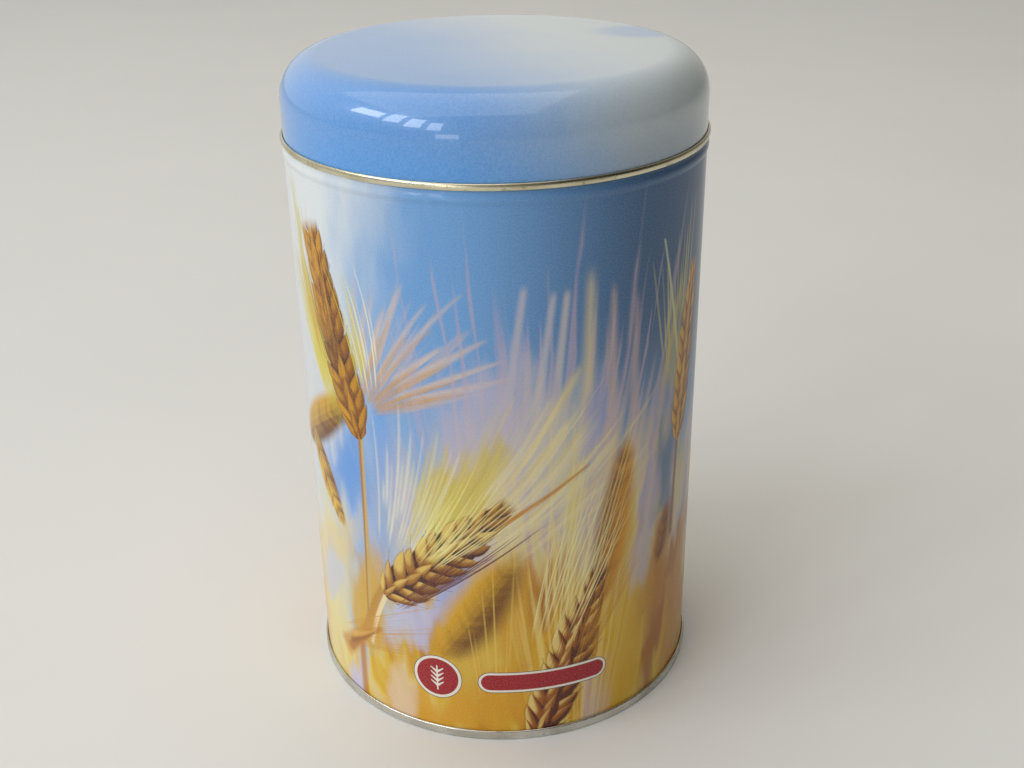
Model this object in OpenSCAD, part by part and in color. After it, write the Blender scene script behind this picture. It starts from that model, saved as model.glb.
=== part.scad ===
// Round slip-lid tin: a rolled sheet wall, a base double seamed onto it, and a
// drawn lid with a hemmed edge that slides over the wall's neck.
// Every piece is bent from one gauge of sheet, so each is a middle line
// given as [radius, height] points, thickened to the sheet and turned.

/* [Size] */
// Outer radius of the straight wall
wall_r = 57.5; // [50:0.5:65]
// Height of the closed tin
tin_h = 185.8; // [184:0.2:230]
// Thickness of the tinplate in all three pieces
sheet = 0.22; // [0.18:0.01:0.24]

/* [Lid] */
// Height of the hem's lower edge above the ground
hem_z = 163.7; // [120:0.1:163.7]
// Radius of the rounded shoulder, on the outside
shoulder_r = 11; // [6:0.5:14]
// How far the skirt's outside lies inside the wall's outside
skirt_inset = 0.1; // [0.1:0.1:0.3]
// Height of the rolled hem
hem_h = 1.86; // [1.8:0.02:2.2]
// How far the hem stands out past the skirt
hem_proud = 0.8; // [0.76:0.02:0.9]

/* [Neck, bead and rim] */
// Gap all round between the neck and the lid's skirt
lid_gap = 0.3; // [0.25:0.05:0.4]
// Height of the neck above the hem's lower edge, rim included
neck_h = 10.16; // [8:0.02:10.16]
// How far the bead under the lid stands out
bead_proud = 0.45; // [0.2:0.05:0.6]
// Height of the bead
bead_h = 3.7; // [2:0.1:4.5]
// Radius of the rim's roll, to the middle of the sheet
rim_r = 0.85; // [0.6:0.05:1.2]

/* [Base] */
// Height of the double seam round the foot
seam_h = 2.9; // [2.6:0.1:3.2]
// Gap between the folded layers of the seam
fold_gap = 0.05; // [0.04:0.01:0.06]
// How far the two hooks of the seam overlap
hook_lap = 1.2; // [0.9:0.1:1.3]
// Height of the base panel above the ground
panel_z = 2.6; // [2:0.1:3.5]
// Rise of the panel's middle inside its ring step
step_rise = 0.8; // [0.4:0.1:1.2]
// Radius at the middle of the ring step
step_r = 46; // [30:1:50]

/* [Side seam] */
// Width of the welded lap at the back
lap_w = 1.2; // [0.8:0.1:2]
// How far the lap stands out on each side of the wall
lap_proud = 0.12; // [0.05:0.01:0.15]

/* [Hidden] */
$fn = 96;
half = sheet / 2;
pitch = sheet + fold_gap;         // from one folded layer to the next
wall_mid = wall_r - half;         // middle lines of the wall, skirt and neck
skirt_mid = wall_mid - skirt_inset;
neck_mid = skirt_mid - sheet - lid_gap;
rest_gap = 0.38;                  // from the hem's edge down to the shoulder's start
bead_top = hem_z - rest_gap;
turn_steps = 6;                   // straight pieces in a half turn of a fold
bead_steps = 10;                  // straight pieces across the bead

// n + 1 points on an ellipse about c from angle a to angle b
function bend(c, rx, rz, a, b, n) =
    [for (i = [0:n]) let (t = a + (b - a) * i / n) c + [rx * cos(t), rz * sin(t)]];

// Unit vector square to the line from p to q, on its left
function left_of(p, q) = [p[1] - q[1], q[0] - p[0]] / norm(q - p);

// A middle line moved sideways by d, with its corners kept sharp
function beside(line, d) = [for (i = [0:len(line) - 1])
    let (
        into = left_of(line[max(i - 1, 0)], line[max(i, 1)]),
        away = left_of(line[min(i, len(line) - 2)], line[min(i + 1, len(line) - 1)]),
        mitre = into + away
    ) line[i] + mitre * d * 2 / (mitre * mitre)];

// The sheet's section along a middle line
function section(line) = concat(
    beside(line, half),
    [for (i = [len(line) - 1:-1:0]) beside(line, -half)[i]]
);

module turned(line) {
    rotate_extrude() polygon(section(line));
}

// Double seam, from the inside out: base, wall, cover hook, body hook, base
seam_out_mid = wall_mid + 3 * pitch;
body_hook_mid = wall_mid + 2 * pitch;
cover_hook_mid = wall_mid + pitch;
chuck_mid = wall_mid - pitch;
fold_r = pitch;                   // radius of both hooks' folds
seam_corner = 0.3;                // bend of the seam's lower corners
hook_clear = 0.22;                // from the end of the body hook to the fold over it
cover_fold_z = seam_h - fold_r - half;
body_fold_z = pitch + fold_r + half;
body_hook_z = cover_fold_z - hook_clear;
cover_hook_z = body_hook_z - hook_lap;

// Shoulder between the bead and the neck: two equal bends, out and back
bend_r = 0.5;
bend_a = acos(1 - (wall_mid - neck_mid) / 2 / bend_r);
neck_z = bead_top + 2 * bend_r * sin(bend_a);
rim_z = hem_z + neck_h - rim_r - half;
rim_turn = 300;                   // how far round the rim is rolled, in degrees
rim_steps = 12;

// The bead's rise at a share t of its height, from 0 to 1
function bead(t) = bead_proud * (1 - cos(360 * t)) / 2;

wall_line = concat(
    [[body_hook_mid, body_hook_z]],
    bend([cover_hook_mid, body_fold_z], fold_r, fold_r, 0, -180, turn_steps),
    [for (i = [0:bead_steps]) let (t = i / bead_steps)
        [wall_mid + bead(t), bead_top - bead_h * (1 - t)]],
    bend([wall_mid - bend_r, bead_top], bend_r, bend_r, bend_a / 3, bend_a, 2),
    bend([neck_mid + bend_r, neck_z], bend_r, bend_r, 180 + bend_a * 2 / 3, 180, 2),
    bend([neck_mid - rim_r, rim_z], rim_r, rim_r, 0, rim_turn, rim_steps)
);

lap_z = seam_h + 0.2;              // the lap stops just above the double seam

module body_wall() {
    color("cornflowerblue") {
        turned(wall_line);
        translate([-lap_w / 2, wall_r - sheet - lap_proud, lap_z])
            cube([lap_w, sheet + 2 * lap_proud, bead_top - bead_h - lap_z]);
    }
}

step_half = 1.5;                  // half the radial width of the ring step
step_steps = 6;
countersink_r = 0.8;              // bend from the panel down into the chuck wall
base_line = concat(
    [[0, panel_z + half + step_rise]],
    [for (i = [0:step_steps]) let (t = 180 * i / step_steps)
        [step_r + step_half * (t / 90 - 1), panel_z + half + step_rise * (1 + cos(t)) / 2]],
    bend([chuck_mid - countersink_r, panel_z + half - countersink_r],
        countersink_r, countersink_r, 90, 0, 4),
    bend([chuck_mid + seam_corner, half + seam_corner], seam_corner, seam_corner, 180, 270, 3),
    bend([seam_out_mid - seam_corner, half + seam_corner], seam_corner, seam_corner, 270, 360, 3),
    bend([body_hook_mid, cover_fold_z], fold_r, fold_r, 0, 180, turn_steps),
    [[cover_hook_mid, cover_hook_z]]
);

module base_end() {
    color("silver") turned(base_line);
}

hem_rx = hem_proud / 2;
hem_rz = hem_h / 2 - half;
hem_turn = 285;                   // how far round the hem is rolled, in degrees
hem_steps = 14;
shoulder_steps = 12;
lid_line = concat(
    [[0, tin_h - half]],
    bend([skirt_mid + half - shoulder_r, tin_h - shoulder_r],
        shoulder_r - half, shoulder_r - half, 90, 0, shoulder_steps),
    bend([skirt_mid + hem_rx, hem_z + hem_h / 2], hem_rx, hem_rz, 180, 180 + hem_turn, hem_steps)
);

module lid() {
    color("lightsteelblue") turned(lid_line);
}

body_wall();
base_end();
lid();
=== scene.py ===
"""A round slip-lid food tin, printed with ripe barley under a summer sky.

Three pieces of tinplate, in the order they are put together: the rolled wall,
the base seamed onto it, and the drawn lid. Metres, +Z up, front of the print on -Y."""

import math

import bmesh
import bpy
from mathutils import Matrix, Vector


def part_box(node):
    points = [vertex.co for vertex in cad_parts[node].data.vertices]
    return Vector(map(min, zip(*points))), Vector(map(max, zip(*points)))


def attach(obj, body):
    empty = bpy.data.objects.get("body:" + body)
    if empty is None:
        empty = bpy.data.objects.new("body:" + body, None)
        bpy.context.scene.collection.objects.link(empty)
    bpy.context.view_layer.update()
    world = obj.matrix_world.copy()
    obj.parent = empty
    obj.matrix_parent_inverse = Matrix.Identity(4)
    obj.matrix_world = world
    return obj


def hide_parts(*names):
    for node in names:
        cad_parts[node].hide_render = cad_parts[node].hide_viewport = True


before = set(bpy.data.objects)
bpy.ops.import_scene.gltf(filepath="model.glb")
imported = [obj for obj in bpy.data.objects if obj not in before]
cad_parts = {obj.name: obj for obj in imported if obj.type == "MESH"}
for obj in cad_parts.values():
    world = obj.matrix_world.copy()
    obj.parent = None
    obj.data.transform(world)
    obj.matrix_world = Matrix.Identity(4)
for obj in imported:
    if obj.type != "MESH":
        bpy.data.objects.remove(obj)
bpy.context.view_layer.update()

MM = 0.001

# ---------------------------------------------------------------- body wall
# One sheet of tinplate, printed and varnished flat, rolled and welded down the back,
# then beaded, necked in and curled at the mouth. Its foot is hooked into the base's
# double seam. The inside, the neck and the curl are lacquered gold, not printed.

base_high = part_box("base_end")[1]
wall_low, wall_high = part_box("body_wall")
lid_low, lid_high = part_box("lid")
sheet = 0.22 * MM
half = sheet / 2
fold_gap = 0.05 * MM
layer = sheet + fold_gap
wall_mid = base_high.x - half - 3 * layer
wall_r = wall_mid + half
hem_z = lid_low.z
bead_below_hem, bead_height, bead_proud = 0.38 * MM, 3.7 * MM, 0.45 * MM
bead_top = hem_z - bead_below_hem
neck_step = 0.62 * MM
neck_mid = wall_mid - neck_step
rim_r, rim_turn, rim_steps = 0.85 * MM, 300, 30
rim_z = wall_high.z - rim_r - half
lap_half, lap_proud, lap_above_seam = 0.6 * MM, 0.12 * MM, 0.2 * MM
on_axis = 1e-7
sharp_from = 50


def bend(centre, rx, rz, start, end, steps):
    """Points (radius, height) on an ellipse about centre, from one angle to another in degrees."""
    angles = [math.radians(start + (end - start) * i / steps) for i in range(steps + 1)]
    return [(centre[0] + rx * math.cos(a), centre[1] + rz * math.sin(a)) for a in angles]


def beside(line, distance):
    """A line moved sideways to its left, with its corners kept."""
    moved = []
    for i, (r, z) in enumerate(line):
        before, after = line[max(i - 1, 0)], line[min(i + 1, len(line) - 1)]
        into = Vector((before[1] - z, r - before[0])).normalized() if i else None
        away = Vector((z - after[1], after[0] - r)).normalized() if i < len(line) - 1 else None
        mitre = (into or away) + (away or into)
        push = mitre * distance * 2 / mitre.length_squared
        moved.append((max(r + push.x, 0.0), z + push.y))
    return moved


def sheet_section(line, left, right):
    """(radius, height, finish) all round the sheet; left(i) and right(i) give each side's finish."""
    outside = [(r, z, left(i)) for i, (r, z) in enumerate(beside(line, half))]
    inside = [(r, z, right(i - 1)) for i, (r, z) in enumerate(beside(line, -half))]
    return outside + inside[::-1]


def turned(name, section, finishes, angles, out_at=lambda angle, z: 0.0):
    """The section turned about Z into a closed mesh; out_at moves a point out at its angle and height."""
    bm = bmesh.new()
    rings = []
    for r, z, _ in section:
        reach = [r + out_at(a, z) for a in angles] if r > on_axis else [0.0]
        rings.append([
            bm.verts.new((d * math.sin(a), -d * math.cos(a), z)) for d, a in zip(reach, angles)])
    for i, ring in enumerate(rings):
        after = rings[(i + 1) % len(rings)]
        if len(ring) == 1 and len(after) == 1:
            continue
        for j in range(len(angles)):
            k = (j + 1) % len(angles)
            corners = [
                ring[j % len(ring)], ring[k % len(ring)],
                after[k % len(after)], after[j % len(after)]]
            face = bm.faces.new(list(dict.fromkeys(corners)))
            face.smooth, face.material_index = True, section[i][2]
    bmesh.ops.recalc_face_normals(bm, faces=bm.faces)
    mesh = bpy.data.meshes.new(name)
    bm.to_mesh(mesh)
    bm.free()
    mesh.set_sharp_from_angle(angle=math.radians(sharp_from))
    for finish in finishes:
        mesh.materials.append(finish)
    piece = bpy.data.objects.new(name, mesh)
    bpy.context.scene.collection.objects.link(piece)
    return piece


seam_height, hook_clear = 2.9 * MM, 0.22 * MM
fold_steps, bead_steps, wall_steps, bend_steps = 12, 32, 8, 6
cover_hook_mid, body_hook_mid = wall_mid + layer, wall_mid + 2 * layer
body_fold_z = wall_low.z + layer + half
cover_fold_z = seam_height - layer - half
body_hook_z = cover_fold_z - hook_clear

# the neck steps in by two arcs of radius bend_r, one out and one in, each turning bend_a degrees
bend_r = 0.5 * MM
bend_a = math.degrees(math.acos(1 - (wall_mid - neck_mid) / 2 / bend_r))
neck_z = bead_top + 2 * bend_r * math.sin(math.radians(bend_a))
bead = [
    (wall_mid + bead_proud * (1 - math.cos(2 * math.pi * i / bead_steps)) / 2,
     bead_top - bead_height * (1 - i / bead_steps)) for i in range(bead_steps + 1)]
straight = [
    (wall_mid, body_fold_z + (bead[0][1] - body_fold_z) * i / wall_steps)
    for i in range(1, wall_steps)]
foot_hook = [(body_hook_mid, body_hook_z)] + bend(
    (cover_hook_mid, body_fold_z), layer, layer, 0, -180, fold_steps)
shoulder = bend(
    (wall_mid - bend_r, bead_top), bend_r, bend_r, bend_a / bend_steps, bend_a, bend_steps - 1)
neck = bend(
    (neck_mid + bend_r, neck_z), bend_r, bend_r,
    180 + bend_a * (bend_steps - 1) / bend_steps, 180, bend_steps - 1)
rim = bend((neck_mid - rim_r, rim_z), rim_r, rim_r, 0, rim_turn, rim_steps)
wall_line = foot_hook + straight + bead + shoulder + neck + rim
print_ends = len(foot_hook + straight + bead + shoulder)


def lap_out(angle, z):
    """The welded lap stands out from both faces down the back, above the seam and below the bead."""
    aside = abs(math.remainder(angle - math.pi, 2 * math.pi)) * wall_r
    inside_height = seam_height + lap_above_seam < z < bead_top - bead_height
    return lap_proud * inside_height * (aside < lap_half)


# the sheet turns in even steps, with extra ones half way out to the lap's edge and either side of it
sides = 240
lap_cuts = (lap_half / 2, lap_half - 0.01 * MM, lap_half + 0.06 * MM)
back_angles = [math.pi + side * aside / wall_r for side in (-1, 1) for aside in lap_cuts]
round_angles = sorted([2 * math.pi * i / sides for i in range(sides)] + back_angles)


def tone(code):
    """A colour from its printed code, such as "c98a2b", as linear red, green, blue, alpha."""
    parts = [int(code[i:i + 2], 16) / 255 for i in (0, 2, 4)]
    return (*[p / 12.92 if p <= 0.04045 else ((p + 0.055) / 1.055) ** 2.4 for p in parts], 1.0)


class Value:
    """A number in a node tree, added, multiplied and divided as plain numbers are."""

    def __init__(self, nodes, socket):
        self.nodes, self.socket = nodes, socket

    def __add__(self, other):
        return self.nodes.math("ADD", self, other)

    def __radd__(self, other):
        return self.nodes.math("ADD", other, self)

    def __sub__(self, other):
        return self.nodes.math("SUBTRACT", self, other)

    def __rsub__(self, other):
        return self.nodes.math("SUBTRACT", other, self)

    def __mul__(self, other):
        return self.nodes.math("MULTIPLY", self, other)

    def __truediv__(self, other):
        return self.nodes.math("DIVIDE", self, other)


class Nodes:
    """Writes one node tree. What a method returns is fed to the next."""

    def __init__(self, tree):
        self.tree = tree

    def feed(self, socket, value):
        if isinstance(value, Value):
            self.tree.links.new(value.socket, socket)
        else:
            socket.default_value = value

    def put(self, kind, output=0, settings=None, **inputs):
        node = self.tree.nodes.new("ShaderNode" + kind)
        for name, value in (settings or {}).items():
            setattr(node, name, value)
        for name, value in inputs.items():
            self.feed(node.inputs[name.replace("_", " ")], value)
        return Value(self, node.outputs[output])

    def math(self, operation, *values, clamp=False):
        node = self.tree.nodes.new("ShaderNodeMath")
        node.operation, node.use_clamp = operation, clamp
        for socket, value in zip(node.inputs, values):
            self.feed(socket, value)
        return Value(self, node.outputs[0])

    def rise(self, value, start, end, low=0.0, high=1.0):
        """Goes smoothly from low to high as value goes from start to end."""
        return self.put("MapRange", settings={"interpolation_type": "SMOOTHSTEP"}, Value=value,
                        From_Min=start, From_Max=end, To_Min=low, To_Max=high)

    def mix(self, share, below, above):
        node = self.tree.nodes.new("ShaderNodeMix")
        node.data_type = "RGBA"
        for socket, value in ((node.inputs[0], share), (node.inputs[6], below), (node.inputs[7], above)):
            self.feed(socket, value)
        return Value(self, node.outputs[2])

    def blend(self, share, below, above):
        """A plain number part of the way from below to above."""
        return below + share * (above - below)

    def ramp(self, value, *stops):
        """A colour that runs through stops of (value, colour code)."""
        node = self.tree.nodes.new("ShaderNodeValToRGB")
        for place, _ in stops[2:]:
            node.color_ramp.elements.new(place)
        for stop, (place, code) in zip(node.color_ramp.elements, stops):
            stop.position, stop.color = place, tone(code)
        self.feed(node.inputs[0], value)
        return Value(self, node.outputs[0])

    def noise(self, place, size, detail):
        """Noise whose lumps are about size across, in the units of place."""
        return self.put("TexNoise", Vector=place, Scale=1 / size, Detail=detail)

    def wobble(self, number, detail=2.0):
        """Smooth noise along one number, from 0 to 1."""
        return self.put("TexNoise", settings={"noise_dimensions": "1D"},
                        W=number, Scale=1.0, Detail=detail)

    def chance(self, number, seed):
        """Three random numbers from 0 to 1, the same for the same number and seed."""
        picked = self.put("TexWhiteNoise", output="Color", settings={"noise_dimensions": "1D"},
                          W=number + seed * 61.7)
        return self.parts(picked, "SeparateColor")

    def parts(self, vector, kind="SeparateXYZ"):
        node = self.tree.nodes.new("ShaderNode" + kind)
        self.feed(node.inputs[0], vector)
        return [Value(self, output) for output in node.outputs]

    def join(self, x, y, z=0.0):
        return self.put("CombineXYZ", X=x, Y=y, Z=z)

    def use(self, group, **inputs):
        """Places a shared group and returns its outputs by name."""
        node = self.tree.nodes.new("ShaderNodeGroup")
        node.node_tree = group
        for name, value in inputs.items():
            self.feed(node.inputs[name], value)
        return {output.name: Value(self, output) for output in node.outputs}


SOCKETS = {"F": "NodeSocketFloat", "C": "NodeSocketColor"}


def shared_group(name, inputs, outputs, write):
    """A node group with sockets listed like "Length:F Light:C"; write(n, given) returns its outputs."""
    tree = bpy.data.node_groups.new(name, "ShaderNodeTree")
    for listed, side in ((inputs, "INPUT"), (outputs, "OUTPUT")):
        for item in listed.split():
            label, kind = item.split(":")
            tree.interface.new_socket(name=label, in_out=side, socket_type=SOCKETS[kind])
    n = Nodes(tree)
    entry = tree.nodes.new("NodeGroupInput")
    made = write(n, {s.name: Value(n, s) for s in entry.outputs if s.name})
    leave = tree.nodes.new("NodeGroupOutput")
    for label, value in made.items():
        n.feed(leave.inputs[label], value)
    return tree


def new_finish(name, **constants):
    """An empty material: itself, the writer of its tree, and a function that feeds its shader."""
    material = bpy.data.materials.new(name)
    material.use_nodes = True
    tree = material.node_tree
    tree.nodes.clear()
    shader = tree.nodes.new("ShaderNodeBsdfPrincipled")
    out = tree.nodes.new("ShaderNodeOutputMaterial")
    tree.links.new(shader.outputs[0], out.inputs[0])
    n = Nodes(tree)

    def finish(**inputs):
        for label, value in inputs.items():
            n.feed(shader.inputs[label.replace("_", " ")], value)

    finish(**constants)
    return material, n, finish


# The print is worked out on the flat sheet, in millimetres: Across is to the right of the
# art's middle, Height is up from the ground, Round is to the right of the tin's front. The
# sheet carries the field of corn twice, once for each half of the tin.
art_width = math.pi * wall_r / MM


def write_sheet_place(n, given):
    x, y, z = n.parts(n.put("TexCoord", output="Object"))
    round_from_front = n.math("ARCTAN2", x, y * -1) * (wall_r / MM)
    across = n.math("WRAP", round_from_front, art_width / 2, -art_width / 2)
    return {"Across": across, "Height": z * 1000, "Round": round_from_front}


sheet_place = shared_group("sheet place", "", "Across:F Height:F Round:F", write_sheet_place)
SEEN_FROM_ROOT = "Across:F Height:F Root_across:F Root_height:F Lean:F "


def along_and_across(n, given):
    """A place seen from a root, along and across a direction that leans by Lean degrees from level."""
    x, y = given["Across"] - given["Root_across"], given["Height"] - given["Root_height"]
    lean = n.math("RADIANS", given["Lean"])
    cosine, sine = n.math("COSINE", lean), n.math("SINE", lean)
    return x * cosine + y * sine, y * cosine - x * sine


def write_patch(n, given):
    x, y = along_and_across(n, given)
    x, y = x / given["Long"], y / given["Wide"]
    return {"Cover": n.rise(x * x + y * y, 2.1, 0.0)}


patch = shared_group("soft patch", SEEN_FROM_ROOT + "Long:F Wide:F", "Cover:F", write_patch)


def end_mask(n, x, given):
    """Fades a shape in at its root and out at its length."""
    blur = given["Blur"] * 1.5
    return n.rise(x, blur * -1, blur) * n.rise(x, given["Length"] + blur, given["Length"] - blur * 2)


def write_blade(n, given):
    x, y = along_and_across(n, given)
    u = x / given["Length"]
    y = y - given["Bend"] * u * u
    wide = given["Wide"] * (1 - given["Taper"] * n.math("MULTIPLY", u, 1.0, clamp=True))
    blur = given["Blur"]
    line = n.rise(n.math("ABSOLUTE", y), wide + blur, wide - blur)
    return {"Cover": line * end_mask(n, x, given)}


blade = shared_group(
    "stalk", SEEN_FROM_ROOT + "Length:F Wide:F Taper:F Bend:F Blur:F", "Cover:F", write_blade)


def write_bristles(n, given):
    x, y = along_and_across(n, given)
    far = n.math("SQRT", x * x + y * y)
    reach = far / given["Length"]
    spread = n.math("RADIANS", given["Spread"])
    angle = n.math("ARCTAN2", y, x) + reach * reach * given["Curl"]
    cell = angle / spread * given["Count"]
    row = n.math("FLOOR", cell)
    chance = n.chance(row, given["Seed"])
    aside = n.math("ABSOLUTE", cell - row - 0.5 + (chance[0] - 0.5) * 0.7)
    gap = aside * spread / given["Count"] * far
    longest = 1 - chance[1] * 0.4
    late = n.math("MULTIPLY", reach / longest, 1.0, clamp=True)
    wide = given["Wide"] * (1.05 - late * late * late) * (0.6 + chance[2] * 0.8)
    blur = given["Blur"] * (0.4 + late * 1.2)
    line = n.rise(gap, wide + blur, wide - blur)
    start = given["Start"] * (0.8 + chance[2] * 0.4)
    shown = n.rise(reach, start, start + 0.1) * n.rise(reach, longest + 0.02, longest - 0.05)
    inside = n.math("LESS_THAN", n.math("ABSOLUTE", angle), spread)
    return {"Cover": line * shown * inside * (0.55 + chance[0] * 0.45)}


bristles = shared_group(
    "bristles", SEEN_FROM_ROOT + "Spread:F Count:F Length:F Start:F Wide:F Curl:F Blur:F Seed:F",
    "Cover:F", write_bristles)


def write_soft_ear(n, given):
    x, y = along_and_across(n, given)
    u = n.math("MULTIPLY", x / given["Length"], 1.0, clamp=True)
    v = y * 2 / given["Wide"]
    outline = n.math("POWER", n.math("SINE", n.math("POWER", u, 0.8) * math.pi), 0.6)
    soft = given["Blur"] * 2 / given["Wide"]
    cover = n.rise(n.math("ABSOLUTE", v), outline + soft, outline - soft) * end_mask(n, x, given)
    lapped = n.wobble(x * 0.26 - n.math("ABSOLUTE", y) * 0.2 + given["Seed"]) * 1.2
    fibres = n.wobble(y * 0.7 + x * 0.04) * 0.8
    bright = (lapped + fibres - 1) / (given["Blur"] + 0.5) + 0.5 + v * given["Lit"]
    colour = n.mix(n.rise(bright, 0.15, 0.85), given["Deep"], given["Light"])
    return {"Colour": colour, "Cover": cover}


soft_ear = shared_group(
    "soft ear", SEEN_FROM_ROOT + "Length:F Wide:F Blur:F Lit:F Deep:C Light:C Seed:F",
    "Colour:C Cover:F", write_soft_ear)


def write_ear(n, given):
    x, y = along_and_across(n, given)
    u = n.math("MULTIPLY", x / given["Length"], 1.0, clamp=True)
    y = y - given["Bend"] * u * u
    slim = n.rise(u, -0.05, 0.22, 0.4, 1.0) * n.rise(u, 0.6, 1.04, 1.0, given["Tip"])
    v = y * 2 / (given["Wide"] * slim)
    soft = given["Blur"] * 2 / given["Wide"] + 0.03
    round_foot = x - v * v * 2.5
    ends = n.rise(round_foot, given["Blur"] * -1, given["Blur"])
    ends = ends * n.rise(x / given["Length"], 1.07, 0.99)
    cover = n.rise(n.math("ABSOLUTE", v), 0.72 + soft, 0.72 - soft) * n.rise(u, 1.0, 0.93)
    bright = n.wobble(y * 1.3 + x * 0.1) * 0.2 - 0.04
    wide = given["Plump"]
    for side, offset in ((-1, 0.0), (1, 0.5), (0, 0.27)):
        climb = x / given["Pitch"] + offset
        cell = n.math("FLOOR", climb)
        for below in (0, 1):
            chance = n.chance(cell + (17 * side - below), given["Seed"])
            run = (climb - cell + below) * given["Pitch"]
            along = run / (given["Grain"] * (0.85 + chance[0] * 0.3))
            across = n.math("MAXIMUM", n.math("SQRT", along) * (1 - along) * 2.6 * wide, 0.0)
            if side:
                middle = (0.12 + along * 0.8 + (chance[2] - 0.5) * 0.12) * side
            else:
                middle = (chance[2] - 0.5) * 0.16
                across = across * given["Middle"]
            off = v - middle
            mask = n.rise(n.math("ABSOLUTE", off), across + soft, across - soft)
            lit = off / n.math("MAXIMUM", across, 0.05) - given["Lit"]
            shade = 0.95 - lit * lit * 0.34 + (chance[1] - 0.5) * 0.3
            shade = shade * n.rise(along, -0.1, 0.5, 0.25, 1.0)
            bright = n.blend(mask, bright, shade)
            cover = n.math("MAXIMUM", cover, mask)
    fibres = n.wobble(y * 1.6 + n.wobble(x * 0.12 + given["Seed"]) * 3.0, 3.0)
    bright = bright + (fibres - 0.5) * given["Fibre"] * n.rise(u, 0.1, 0.75)
    bright = bright + v * given["Lit"] * 0.25
    colour = n.mix(n.rise(bright, 0.12, 0.62), given["Deep"], given["Body"])
    colour = n.mix(n.rise(bright, 0.62, 1.08), colour, given["Light"])
    return {"Colour": colour, "Cover": cover * ends}


ear = shared_group(
    "ear", SEEN_FROM_ROOT + "Length:F Wide:F Pitch:F Grain:F Plump:F Middle:F Bend:F Blur:F Lit:F "
    "Fibre:F Tip:F Deep:C Body:C Light:C Seed:F", "Colour:C Cover:F", write_ear)


def write_tuft(n, given):
    x, y = along_and_across(n, given)
    far = n.math("SQRT", x * x + y * y)
    angle = n.math("ARCTAN2", y, x)
    turn = angle * given["Fine"] + given["Seed"] * 7.7
    strands = n.wobble(turn + n.wobble(far * 0.03 + given["Seed"]) * 1.2, 1.0)
    reach = far / (given["Length"] * (0.55 + n.wobble(turn * 0.8 + 31, 1.0) * 0.8))
    shown = n.rise(reach, 1.04, 0.92) * n.rise(reach, given["Start"], given["Start"] + 0.3)
    spread = n.math("RADIANS", given["Spread"])
    fan = n.rise(n.math("ABSOLUTE", angle), spread, spread * 0.5)
    return {"Cover": n.rise(strands, 0.44, 0.6) * shown * fan}


tuft = shared_group(
    "tuft", SEEN_FROM_ROOT + "Spread:F Fine:F Length:F Start:F Seed:F", "Cover:F", write_tuft)


class Art:
    """The print as it is built up, one layer of ink over another, on the flat sheet in millimetres."""

    def __init__(self, nodes, across, height):
        self.nodes, self.across, self.height = nodes, across, height
        sway = nodes.put("TexNoise", output="Color", Vector=nodes.join(across / 7, height / 22),
                         Scale=1.0, Detail=2.0)
        sway_x, sway_y, _ = nodes.parts(sway, "SeparateColor")
        self.drift_x, self.drift_y = (sway_x - 0.5) * 11, (sway_y - 0.5) * 36

    def lay(self, cover, colour, share=1.0):
        """Inks one layer. The next is placed a hair aside by it, so that the layers are worked out
        in turn: all at once they are more than the renderer can hold."""
        colour = tone(colour) if isinstance(colour, str) else colour
        self.ink = self.nodes.mix(cover * share, self.ink, colour)
        self.across = self.across + cover * 0.001

    def use(self, group, root, drifting=False, **inputs):
        across = self.across + self.drift_x if drifting else self.across
        height = self.height + self.drift_y if drifting else self.height
        return self.nodes.use(
            group, Across=across, Height=height, Root_across=root[0], Root_height=root[1], **inputs)

    def patch(self, code, share, root, lean, long, wide):
        """A soft spot of one colour with a wandering edge."""
        self.lay(self.use(patch, root, True, Lean=lean, Long=long, Wide=wide)["Cover"], code, share)

    def tuft(self, code, share, root, lean, spread, fine, length, start, seed):
        """A soft mass of awns out of focus, fanning from root."""
        self.lay(self.use(tuft, root, Lean=lean, Spread=spread, Fine=fine, Length=length,
                          Start=start, Seed=seed)["Cover"], code, share)

    def bristles(self, code, share, root, lean, spread, count, length, start, wide, curl, blur, seed):
        """A fan of bristles from root, which leans and spreads by so many degrees."""
        self.lay(self.use(bristles, root, Lean=lean, Spread=spread, Count=count, Length=length,
                          Start=start, Wide=wide, Curl=curl, Blur=blur, Seed=seed)["Cover"],
                 code, share)

    def stroke(self, code, share, root, lean, length, wide, taper=0.0, curve=0.0, blur=0.3):
        """One stalk, leaf or single awn, from root."""
        self.lay(self.use(blade, root, Lean=lean, Length=length, Wide=wide, Taper=taper, Bend=curve,
                          Blur=blur)["Cover"], code, share)

    def far_ear(self, root, lean, length, wide, blur, deep, light, lit, seed):
        """An ear out of focus, from its foot at root."""
        made = self.use(soft_ear, root, Lean=lean, Length=length, Wide=wide, Blur=blur, Deep=tone(deep),
                        Light=tone(light), Lit=lit, Seed=seed)
        self.lay(made["Cover"], made["Colour"])

    def near_ear(self, root, lean, length, wide, deep, body, light, pitch, grain, plump, middle,
                 curve, blur, lit, fibre, tip, seed):
        """An ear in focus, from its foot at root, with a grain at every pitch up each side."""
        made = self.use(
            ear, root, Lean=lean, Length=length, Wide=wide, Pitch=pitch, Grain=grain, Plump=plump,
            Middle=middle, Bend=curve, Blur=blur, Lit=lit, Fibre=fibre, Tip=tip,
            Deep=tone(deep), Body=tone(body), Light=tone(light), Seed=seed)
        self.lay(made["Cover"], made["Colour"])


def write_print_grain(n, given):
    """Fine dark and pale specks, mixed thinly into the inks."""
    specks = n.mix(n.rise(given["Grit"], 0.3, 0.7), tone("30261c"), tone("ffffff"))
    return {"Colour": n.mix(given["Share"], given["Ink"], specks)}


print_grain = shared_group("print grain", "Ink:C Grit:F Share:F", "Colour:C", write_print_grain)

printed, nodes, finish = new_finish("printed wall", Coat_Roughness=0.07)
here = nodes.use(sheet_place)
across, height = here["Across"], here["Height"]
art = Art(nodes, across, height)

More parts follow.
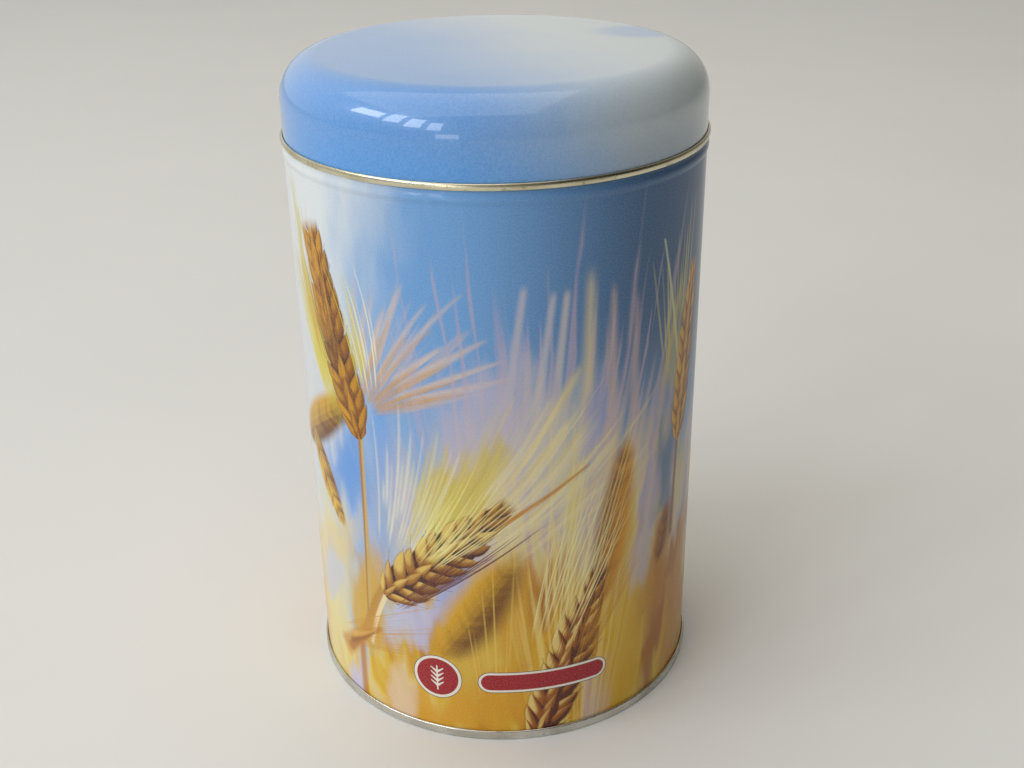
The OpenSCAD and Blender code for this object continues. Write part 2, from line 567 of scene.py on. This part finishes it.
# The layers, back to front. Roots and sizes are in millimetres on the sheet and leans in
# degrees from level, in the order in which each method of Art names them.

# open sky: bright blue left of the middle, deep slate blue on the right, white cloud at the left
sky = nodes.mix(nodes.rise(across, -14, 46), tone("6fa6e0"), tone("43678f"))
art.ink = nodes.mix(nodes.rise(height, 135, 60), sky, tone("9ab9e4"))
art.lay(nodes.rise(across + art.drift_x * 2 + height * -0.28, -58, -98), "dfe6e8")
art.patch("d6d9dc", 0.9, (-60, 106), 90, 24, 15)
art.patch("5e9ae4", 0.9, (-48, 80), 70, 12, 9)
art.patch("6ea8ea", 0.9, (-34, 84), 88, 30, 3.5)
art.patch("5c6f92", 0.9, (53, 77), 80, 18, 8)

# awns far out of focus: a feather of them at the left, a tall row across the middle
art.tuft("d3bfb6", 0.45, (-42, 94), 62, 40, 12, 44, 0.2, 1)
art.bristles("dcc8b8", 0.85, (-40, 99), 52, 36, 5, 54, 0.25, 1.4, 0.1, 0.6, 1)
art.bristles("cc9c50", 0.75, (-40, 99), 52, 36, 5, 40, 0.1, 1.1, 0.1, 0.7, 1)
art.tuft("c4b0c2", 0.6, (6, -70), 87, 17, 64, 206, 0.5, 2)
art.bristles("d0bcba", 0.75, (0, -70), 86, 12, 7, 204, 0.55, 1.6, 0.0, 0.8, 3)
art.bristles("ccb6b4", 0.75, (34, -70), 91, 9, 5, 200, 0.55, 1.8, 0.0, 0.8, 4)
art.stroke("c6c2cc", 0.75, (0, 96), 82, 44, 1.3, 0.4, 0.0, 0.8)
art.stroke("c9c4cc", 0.75, (8, 98), 82, 40, 1.2, 0.4, 0.0, 0.8)
art.stroke("d2c8c4", 0.75, (12.5, 94), 84, 44, 1.3, 0.4, 0.0, 0.8)
art.stroke("dccda2", 0.85, (22, 70), 88.5, 72, 2.8, 0.75, 0.5, 1.9)
art.stroke("d0b8b0", 0.7, (30.5, 70), 90, 67, 2.6, 0.8, 0.5, 1.3)
art.stroke("ccb4b4", 0.65, (37, 70), 89, 63, 2.4, 0.8, 0.5, 1.3)
art.stroke("d8bc74", 0.75, (38, 60), 76, 74, 3.2, 0.9, -1.5, 1.4)
art.stroke("e2d38c", 0.8, (2, 84), 62, 38, 3.0, 0.8, -1.5, 1.6)

# the field behind: one soft mass of awns and ears, lilac above and gold below
fan_x, fan_y = art.across + art.drift_x - 8, height + art.drift_y + 90
turn = nodes.math("ARCTAN2", fan_x, fan_y)
streaks = nodes.noise(nodes.join(turn * 26, fan_y * 0.018), 1.0, 2)
broad = nodes.noise(nodes.join(turn * 9, fan_y * 0.03, 7.3), 1.0, 1)
top = height + (streaks - 0.5) * 60 + nodes.math("ABSOLUTE", across - 14) * 0.35
haze = nodes.ramp(streaks, (0.3, "a2a8d0"), (0.42, "cbbac4"), (0.52, "dfcfa8"), (0.66, "dcc66a"))
art.lay(nodes.rise(top, 118, 88) * nodes.rise(across, -50, -12), haze, 0.9)
gold = nodes.ramp(broad * 0.7 + streaks * 0.3, (0.3, "a86404"), (0.42, "c88c0c"), (0.5, "dcae20"),
                  (0.58, "e4c44c"), (0.7, "dfcc9c"))
art.lay(nodes.rise(top + (broad - 0.5) * 50, 76, 40), gold)
art.patch("c8bece", 0.75, (-1, 101), 84, 16, 14)
art.patch("d8d0bc", 0.6, (14, 94), 84, 16, 10)
art.patch("5d7ea8", 0.9, (52.5, 76), 78, 13, 5.5)
art.patch("ecdf9c", 0.85, (-65, 28), 80, 38, 13)
art.patch("c6cbe4", 0.7, (-62, 38), 60, 12, 6)
art.patch("e8cf8c", 0.5, (-58, 52), 40, 18, 5)
art.patch("d8a818", 0.9, (-43, 38), 76, 22, 5)
art.patch("9db0ec", 0.9, (-14, 50), 74, 14, 5)
art.patch("c3c8ea", 0.85, (-27, 39), 42, 13, 6)
art.patch("dcb440", 0.85, (-8, 26), 66, 26, 7)
art.patch("d8a028", 0.8, (3, 48), 84, 16, 4)
art.patch("dda014", 0.9, (-14, 8), 20, 26, 9)
art.patch("e6ccae", 0.8, (-32, 8), 85, 13, 5)
art.patch("c8c8f0", 0.8, (-51, 5), 85, 9, 4)
art.patch("cfb8bc", 0.85, (27, 6), 84, 13, 5)
art.patch("d8a812", 0.85, (36, 26), 85, 32, 8)
art.patch("a4580a", 0.85, (49, 20), 82, 28, 4)
art.patch("c88a30", 0.8, (63, 24), 80, 28, 7)
art.patch("c08214", 0.8, (50, 46), 70, 16, 6)
art.patch("bfb4c8", 0.7, (44, 60), 80, 14, 4)
art.patch("d6bc32", 0.85, (-10, 84), 46, 13, 8)
art.tuft("ead67a", 0.5, (-34, 34), 50, 20, 22, 84, 0.4, 3)
art.tuft("f0e2ae", 0.55, (-26, 34), 50, 18, 26, 88, 0.5, 4)
art.tuft("dc9e1c", 0.45, (8, -40), 88, 14, 26, 96, 0.2, 5)
art.tuft("f2dc80", 0.5, (18, -60), 89, 13, 44, 140, 0.3, 6)
edge = nodes.ramp(height / 165, (0.0, "cc8420"), (0.3, "dfb65c"), (0.55, "c9c2cc"), (0.95, "dde3e8"))
art.lay(nodes.rise(nodes.math("ABSOLUTE", across), 66, 89), edge)

# ears out of focus
art.far_ear((-76, 79), 36, 42, 12, 1.8, "6c3c08", "d4a41c", 0.4, 1)
art.far_ear((-68, 84), -56, 30, 9, 0.9, "743c0c", "ecc044", -0.2, 2)
art.far_ear((28, 42), 81, 52, 11, 2.2, "8e500c", "d8981c", -0.3, 3)
art.far_ear((-18, 28), 58, 42, 15, 3.6, "74460c", "dca81c", 0.5, 4)
art.far_ear((50, 46), 76, 20, 5.5, 1.6, "5c300c", "ac6c1c", 0.2, 5)

# the right-hand ear, its stalk and its awns
art.stroke("84603c", 0.9, (59, 85), -93, 34, 0.9, 0.0, 0.0, 0.8)
art.bristles("d6cc84", 0.85, (56, 76), 92, 10, 5, 78, 0.5, 0.9, 0.0, 0.3, 6)
art.stroke("cdd2b0", 0.9, (57, 108), 103, 38, 0.7, 0.5, 1.0, 0.25)
art.near_ear((59, 82), 84, 50, 11, "4c2402", "a4640e", "e0b03c", 5, 9,
             0.46, 0.8, -1.0, 0.5, 0.4, 0.7, 0.5, 6)
art.bristles("dccc54", 0.6, (56, 70), 93, 5, 5, 80, 0.35, 0.5, 0.0, 0.3, 7)

# the ear at the foot of the print, among upright awns
art.bristles("eee4a4", 0.8, (14, -20), 86, 8, 9, 122, 0.45, 0.36, 0.08, 0.25, 8)
art.stroke("b0741a", 0.9, (5, -8), 68, 14, 1.2)
art.near_ear((8, -3), 70, 58, 15, "582404", "a25a0a", "eccf78", 5.4, 9.5,
             0.36, 0.8, 1.5, 0.3, 0.9, 1.0, 0.5, 8)
art.bristles("f8f0b0", 0.85, (2, -10), 77, 8, 8, 108, 0.42, 0.3, 0.1, 0.15, 9)
art.bristles("c88a18", 0.75, (14, 4), 70, 7, 6, 70, 0.3, 0.45, 0.1, 0.3, 10)
art.bristles("e8c456", 0.8, (-2, -30), 92, 6, 4, 96, 0.5, 0.4, 0.0, 0.2, 23)

# the left-hand ear on its stalk
art.stroke("cdae64", 0.95, (-41, 94), -90.5, 76, 0.75, -0.4, -1.5, 0.3)
art.stroke("a8691c", 0.8, (-41.6, 94), -90.5, 60, 0.5, 0.6, -1.2, 0.4)
art.patch("cfc04a", 0.85, (-58, 124), 109, 26, 3.2)
art.tuft("c6b41c", 0.95, (-46, 82), 110, 9, 60, 62, 0.12, 7)
art.bristles("e0d04c", 0.9, (-46, 82), 110, 9, 12, 70, 0.25, 0.5, 0.0, 0.25, 24)
art.near_ear((-41.5, 91), 105, 57, 13.5, "381a00", "8a5000", "cc940c", 5.4, 10,
             0.4, 0.8, 0.6, 0.16, 0.2, 1.3, 0.8, 11)
art.bristles("cc8a0c", 0.85, (-43, 76), 106, 8, 12, 80, 0.5, 0.42, 0.0, 0.25, 13)
art.bristles("4c2204", 0.8, (-42, 80), 105, 6, 9, 70, 0.4, 0.4, 0.0, 0.25, 22)
art.bristles("dccc3c", 0.85, (-37.5, 92), 94, 6, 5, 52, 0.3, 0.4, -0.16, 0.25, 25)
art.bristles("f4f0d4", 0.9, (-36, 84), 88, 8, 3.5, 63, 0.4, 0.38, -0.2, 0.2, 11)

# the sharp ear in the middle, nodding to the right, with its awns before and behind it
art.stroke("c08a2c", 0.85, (-36, 46), -122, 26, 1.5, 0.1, 4.0, 0.8)
art.stroke("f6e0ac", 0.95, (-34, 46), -120, 24, 0.8, 0.1, 4.0, 0.3)
art.bristles("f2ecd0", 0.85, (-40, 34), 71, 12, 7, 78, 0.4, 0.7, -0.1, 0.45, 15)
art.bristles("dccf64", 0.8, (-38, 40), 56, 12, 8, 70, 0.4, 0.7, -0.1, 0.5, 16)
art.bristles("ece0b4", 0.8, (-36, 38), 46, 9, 6, 86, 0.5, 0.9, 0.0, 0.6, 17)
art.stroke("c8841a", 0.9, (-10, 66), 33, 40, 1.0, 0.7, 0.0, 0.5)
art.bristles("ece688", 0.9, (-33, 46), 60, 14, 12, 44, 0.6, 0.7, 0.0, 0.25, 28)
art.near_ear((-36, 43), 43.5, 50, 16.5, "48201a", "a87024", "e4c264", 5.2, 8.5,
             0.33, 0.6, 0.0, 0.1, 0.5, 0.8, 0.35, 15)
art.bristles("6c3420", 0.9, (-44, 29), 42, 4.5, 7, 70, 0.25, 0.45, 0.0, 0.12, 18)
art.bristles("f6f098", 0.9, (-40, 36), 53, 9, 8, 70, 0.42, 0.36, -0.1, 0.12, 19)
art.bristles("f2e8a4", 0.85, (-37, 41), 44, 6, 5, 62, 0.45, 0.34, 0.0, 0.12, 20)

# a dried leaf curled at the lower left, with fine awns running out of it
art.bristles("cf983c", 0.75, (-72, 12), 28, 9, 9, 66, 0.35, 0.28, 0.1, 0.15, 21)
art.stroke("cc9230", 0.85, (-57, 15), 38, 24, 3.4, 0.6, 4.0, 1.4)
art.stroke("b06c10", 0.8, (-54, 16), 50, 22, 1.7, 0.7, -3.0, 0.8)
art.stroke("e2ac48", 0.8, (-52, 22), 22, 14, 1.2, 0.8, 2.5, 0.5)
art.stroke("8a5214", 0.6, (-53, 19), 30, 15, 0.9, 0.8, 2.0, 0.6)
art.stroke("bc7c1c", 0.85, (-47, 22), -93, 22, 1.3, 0.0, 1.0, 0.9)

# a plain round badge with one sprig of corn, and a blank ribbon beside it, on the front only
front = nodes.math("LESS_THAN", nodes.math("ABSOLUTE", here["Round"]), art_width / 2)
outline_ink, pale_ink, red_ink = "3c2c24", "f2ece0", "a41722"
badge_x, badge_y = across + 20, height - 20
badge_r = nodes.math("SQRT", badge_x * badge_x + badge_y * badge_y)
for size, code in ((7.5, outline_ink), (7.3, pale_ink), (6.4, red_ink)):
    art.lay(nodes.rise(badge_r, size, size - 0.15), code, front)
art.stroke(pale_ink, front, (-20, 15.4), 90, 8.6, 0.22, blur=0.06)
for rung in range(4):
    for lean in (38, 142):
        art.stroke(pale_ink, front, (-20, 17.0 + 1.6 * rung), lean, 2.5, 0.42, 0.7, blur=0.06)
ribbon_x = nodes.math("MAXIMUM", nodes.math("ABSOLUTE", across - 11) - 15.5, 0.0)
ribbon_r = nodes.math("SQRT", ribbon_x * ribbon_x + badge_y * badge_y)
for size, code in ((3.7, outline_ink), (3.5, pale_ink), (2.75, red_ink)):
    art.lay(nodes.rise(ribbon_r, size, size - 0.15), code, front)

# the bare strip that is left down the back for the weld, dulled by its heat
grit = nodes.noise(nodes.join(across, height), 0.45, 1)
from_weld = art_width - nodes.math("ABSOLUTE", here["Round"])
bare_half = 2.7
bare = nodes.rise(from_weld + (grit - 0.5) * 0.15, bare_half, bare_half - 0.2)
scale = nodes.ramp(from_weld / bare_half, (0.0, "6d6a66"), (0.25, "8f8c86"), (0.45, "a9a7a1"))
ink = nodes.use(print_grain, Ink=art.ink, Grit=grit, Share=0.045)["Colour"]
finish(Base_Color=nodes.mix(bare, ink, scale), Metallic=bare, Specular_IOR_Level=0.12,
       Coat_Weight=nodes.rise(grit, 0.2, 0.8, 0.3, 0.42) * (1 - bare),
       Roughness=nodes.rise(grit, 0.2, 0.8, 0.34, 0.42))


def write_rolled_tin(n, given):
    """Rolled tinplate: fine lines left by the rolls, a faint bloom and dull scuffs."""
    x, y, z = n.parts(n.put("TexCoord", output="Object"))
    out = n.math("SQRT", x * x + y * y)
    turn = n.math("ARCTAN2", x, y)
    lines = n.noise(n.join(turn * 12, z * 2600, out * 2600), 1.0, 3)
    bloom = n.noise(n.join(x * 90, y * 90, z * 90), 1.0, 3)
    scuffs = n.rise(n.noise(n.join(x * 420, y * 420, z * 900), 1.0, 2), 0.6, 0.72)
    dull = n.rise(bloom, 0.35, 0.7) * 0.6 + lines * 0.4
    colour = n.mix(dull, given["Bright"], given["Dull"])
    colour = n.mix(scuffs * 0.35, colour, tone("6e6a60"))
    return {"Colour": colour, "Rough": 0.2 + dull * 0.16 + scuffs * 0.14, "Lines": lines}


rolled_tin = shared_group("rolled tin", "Bright:C Dull:C", "Colour:C Rough:F Lines:F", write_rolled_tin)


def tin_finish(name, bright, dull):
    """Bare or lacquered tinplate, from its brightest and dullest colours."""
    material, nodes, finish = new_finish(name, Metallic=1.0)
    made = nodes.use(rolled_tin, Bright=tone(bright), Dull=tone(dull))
    relief = nodes.put("Bump", Height=made["Lines"], Strength=0.12, Distance=0.00004)
    finish(Base_Color=made["Colour"], Roughness=made["Rough"], Normal=relief)
    return material


gold_lacquer = tin_finish("gold lacquered tinplate", "e2ddc4", "bfb694")
print_starts = len(foot_hook) - 1
wall_section = sheet_section(
    wall_line, lambda i: 1, lambda i: 0 if print_starts <= i < print_ends else 1)
body_wall = turned(
    "body_wall_sheet", wall_section, [printed, gold_lacquer], round_angles, lap_out)
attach(body_wall, "tin")
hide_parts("body_wall")

# ---------------------------------------------------------------- base end
# A pressed disc of plain tinplate with one ring step, rolled up round the wall's
# foot into a double seam. It is left unprinted.

plain_tin = tin_finish("plain tinplate", "d9d8d0", "b3b1a8")
seam_out_mid = wall_mid + 3 * layer
chuck_mid = wall_mid - layer
seam_corner, corner_steps = 0.3 * MM, 6
countersink_r, countersink_steps = 0.8 * MM, 8
hook_lap = 1.2 * MM
panel_mid, step_rise, step_r, step_half, step_steps = 2.71 * MM, 0.8 * MM, 46 * MM, 1.5 * MM, 12
ring_step = [
    (step_r + step_half * (2 * i / step_steps - 1),
     panel_mid + step_rise * (1 + math.cos(math.pi * i / step_steps)) / 2)
    for i in range(step_steps + 1)]
base_line = (
    [(0.0, panel_mid + step_rise), (step_r / 2, panel_mid + step_rise)] + ring_step
    + bend((chuck_mid - countersink_r, panel_mid - countersink_r),
           countersink_r, countersink_r, 90, 0, countersink_steps)
    + bend((chuck_mid + seam_corner, half + seam_corner),
           seam_corner, seam_corner, 180, 270, corner_steps)
    + bend((seam_out_mid - seam_corner, half + seam_corner),
           seam_corner, seam_corner, 270, 360, corner_steps)
    + bend((body_hook_mid, cover_fold_z), layer, layer, 0, 180, fold_steps)
    + [(cover_hook_mid, body_hook_z - hook_lap)])
base_section = sheet_section(base_line, lambda i: 0, lambda i: 0)
base_end = turned("base_end_disc", base_section, [plain_tin], round_angles)
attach(base_end, "tin")
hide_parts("base_end")

# ---------------------------------------------------------------- lid
# One drawn shell, printed with open sky. Its edge is rolled outwards into a hem,
# so the hem shows the sheet's gold inner side.

lid_print, nodes, finish = new_finish(
    "printed lid",
    Roughness=0.32, Coat_Weight=0.9, Coat_Roughness=0.02, Specular_IOR_Level=0.35)
x, y, z = nodes.parts(nodes.put("TexCoord", output="Object"))
sky_place = nodes.join(x * 1000, y * 1000, z * 1000)
wisps = nodes.noise(sky_place, 42, 3)
grit = nodes.noise(sky_place, 0.45, 1)
cloud = nodes.rise(x * 1000 + y * 360 + (wisps - 0.5) * 34, -32, 28)
# Painted shade: the skirt below the shoulder gets a darker blue and a darker, greyer cloud white than the
# top, so the side reads shaded and the top lit.
painted_skirt_shade_to_top = nodes.rise(z, 0.165, 0.18)
blue = nodes.mix(painted_skirt_shade_to_top, tone("4b9be6"), tone("609ce0"))
white = nodes.mix(painted_skirt_shade_to_top, tone("a6b4be"), tone("cbd5d6"))
ink = nodes.mix(cloud * 0.92, blue, white)
gap_x = x * 1000 - 40 + (wisps - 0.5) * 20
gap_y = y * 1000 - 17
gap = nodes.rise(gap_x * gap_x / 220 + gap_y * gap_y / 80, 1.6, 0.2)
ink = nodes.mix(gap * 0.75, ink, tone("7fa6da"))
finish(Base_Color=nodes.use(print_grain, Ink=ink, Grit=grit, Share=0.05)["Colour"])

shoulder_r, shoulder_steps = 11 * MM, 28
flat_ring_r, skirt_steps = 23 * MM, 4
hem_height, hem_end, hem_steps = 1.86 * MM, 465, 36
hem_rx, hem_rz = 0.4 * MM, hem_height / 2 - half
skirt_mid = lid_high.x - half - 2 * hem_rx
top_z = lid_high.z
skirt_top = top_z - shoulder_r
hem_mid = hem_z + hem_height / 2
lid_line = (
    [(0.0, top_z - half), (flat_ring_r, top_z - half)]
    + bend((skirt_mid + half - shoulder_r, skirt_top),
           shoulder_r - half, shoulder_r - half, 90, 0, shoulder_steps)
    + [(skirt_mid, skirt_top + (hem_mid - skirt_top) * i / skirt_steps)
       for i in range(1, skirt_steps)])
hem_from = len(lid_line)
lid_line += bend((skirt_mid + hem_rx, hem_mid), hem_rx, hem_rz, 180, hem_end, hem_steps)
lid_section = sheet_section(lid_line, lambda i: 0 if i < hem_from else 1, lambda i: 1)
lid = turned("lid_shell", lid_section, [lid_print, gold_lacquer], round_angles)
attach(lid, "lid")
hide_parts("lid")

# ---------------------------------------------------------------- studio
# A pale table top, soft daylight from a row of window panes and a doorway on the left,
# a bright ceiling, a dim room in front and a pale wall behind. None of it is the tin's.

scene = bpy.context.scene
scene.view_settings.view_transform = "Standard"


def placed(data, name):
    made = bpy.data.objects.new(name, data)
    scene.collection.objects.link(made)
    return made


camera_back, camera_up = 0.34125, 0.252
look_down, look_aside, lean = math.radians(25.97), math.radians(0.58), math.radians(-0.86)
camera = placed(bpy.data.cameras.new("camera"), "camera")
camera.data.sensor_width, camera.data.lens = 36, 44.43
camera.data.clip_start, camera.data.clip_end = 0.01, 20
camera.matrix_world = (
    Matrix.Translation((0, -camera_back, camera_up)) @ Matrix.Rotation(-look_aside, 4, "Z")
    @ Matrix.Rotation(math.pi / 2 - look_down, 4, "X") @ Matrix.Rotation(lean, 4, "Z"))
scene.camera = camera

floor_mesh = bpy.data.meshes.new("table_top")
bm = bmesh.new()
bmesh.ops.create_grid(bm, x_segments=4, y_segments=4, size=6)
bm.to_mesh(floor_mesh)
bm.free()
placed(floor_mesh, "table_top")
table, nodes, finish = new_finish("pale table top", Roughness=0.5, Specular_IOR_Level=0.3)
table_place = nodes.put("TexCoord", output="Object")
finish(Base_Color=nodes.mix(nodes.noise(table_place, 0.15, 3), tone("e2e1de"), tone("e9e8e5")))
floor_mesh.materials.append(table)


def pane(name, place, towards, width, height, radiance, code):
    """A flat light of the given brightness and colour, facing a point."""
    light = bpy.data.lights.new(name, "AREA")
    light.shape, light.size, light.size_y = "RECTANGLE", width, height
    light.energy = radiance * math.pi * width * height
    light.color = tone(code)[:3]
    lamp = placed(light, name)
    lamp.location = place
    lamp.rotation_euler = (Vector(towards) - Vector(place)).to_track_quat("-Z", "Y").to_euler()


window_back = 1.9
for i, (aside, wide, middle, tall, radiance) in enumerate((
        (76, 0.68, 1.4, 0.5, 8.5), (57, 0.32, 1.36, 0.76, 7.0),
        (43.5, 0.3, 1.15, 0.78, 7.0), (31.5, 0.24, 0.98, 0.66, 5.5))):
    turn = math.radians(aside)
    pane(f"window_pane_{i}", (-window_back * math.sin(turn), -window_back * math.cos(turn), middle),
         (0, 0, middle), wide, tall, radiance, "f4f8ff")
pane("doorway", (-0.82, -1.85, 0.22), (0, 0, 0.17), 0.42, 0.36, 3.5, "fffaf0")
pane("ceiling", (-0.5, -0.2, 2.0), (-0.3, -0.2, 0), 2.4, 2.4, 1.0, "fffaf2")

world = bpy.data.worlds.new("room")
world.use_nodes = True
scene.world = world
nodes = Nodes(world.node_tree)
backdrop = world.node_tree.nodes["Background"]
side, back, _ = nodes.parts(nodes.put("TexCoord", output="Generated"))
wall_glow = nodes.mix(nodes.rise(side, -0.2, 0.9), tone("efeee7"), tone("6e685c"))
room_glow = nodes.mix(nodes.rise(side, -0.6, 0.7), tone("b9b8b6"), tone("2e2a24"))
nodes.feed(backdrop.inputs["Color"], nodes.mix(nodes.rise(back, -0.35, 0.55), room_glow, wall_glow))
backdrop.inputs["Strength"].default_value = 0.85
